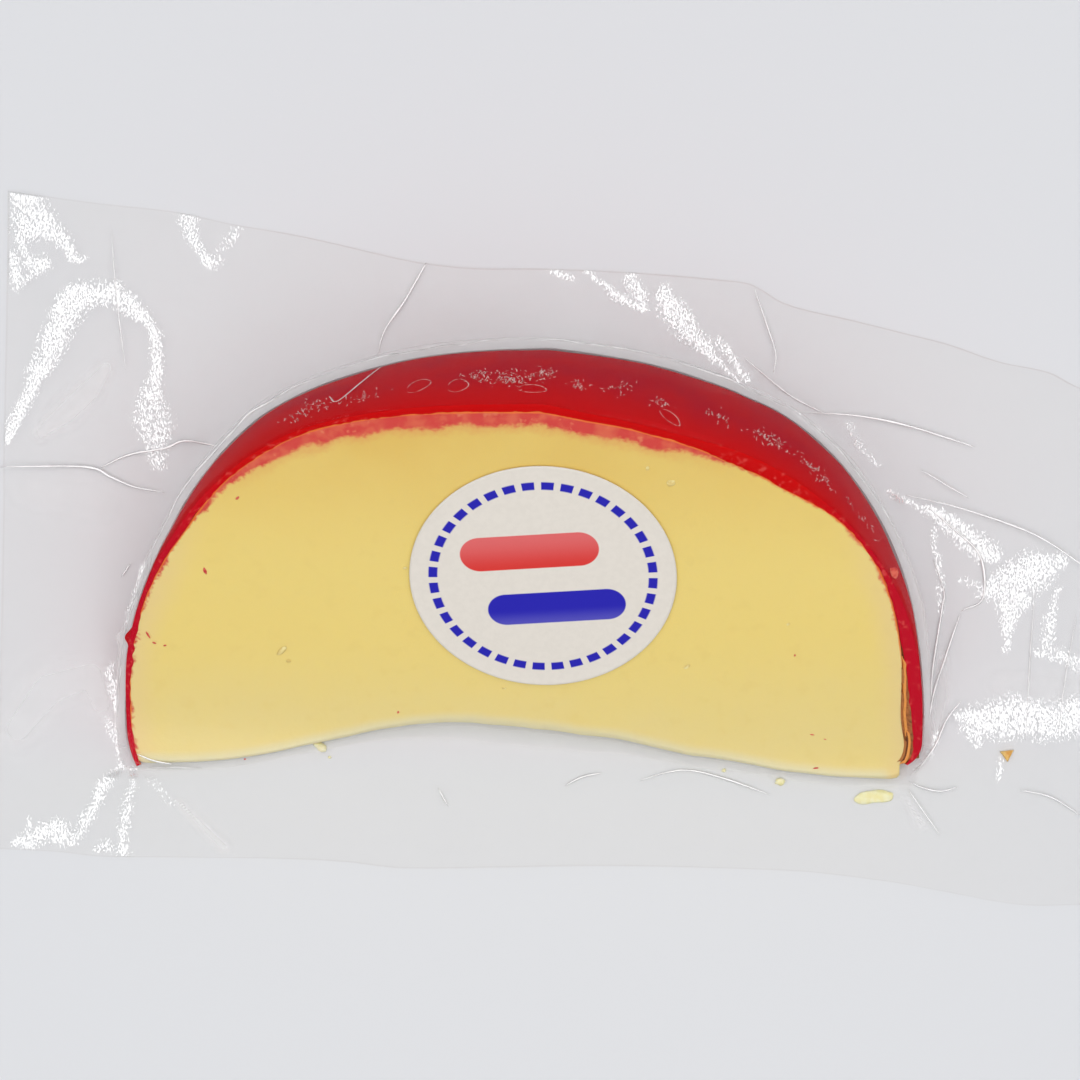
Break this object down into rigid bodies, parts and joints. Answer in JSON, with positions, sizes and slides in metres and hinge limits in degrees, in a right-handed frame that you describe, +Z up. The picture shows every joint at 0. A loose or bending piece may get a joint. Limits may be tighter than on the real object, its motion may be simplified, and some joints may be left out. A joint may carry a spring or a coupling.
{
  "type": "vacuum-packed wedge of waxed ball cheese",
  "caption": "Wedge of red-waxed ball cheese lying on its cut side, vacuum sealed in a clear pouch with a creased margin and a round paper label on the sloping cut face.",
  "frame": {"origin": "middle of the pouch's bounding box, on the table", "axes": "+Z up, +X along the pouch and the ball's pole-to-pole axis, +Y towards the wedge's high round back"},
  "size_m": [0.2202, 0.1384, 0.048],
  "materials": {
    "cheese_paste": "smooth, slightly waxy cut cheese, pale yellow",
    "red_wax": "poured red cheese wax, glossy under the film",
    "clear_film": "thin clear vacuum pouch film, glossy, creased, with a fine embossed grain",
    "label_paper": "matte off-white paper with plain red and blue print fields"
  },
  "bodies": {
    "root": {"cheese": "cheese_paste", "wax_coat": "red_wax", "vacuum_bag": "clear_film", "label": "label_paper"}
  },
  "joints": []
}
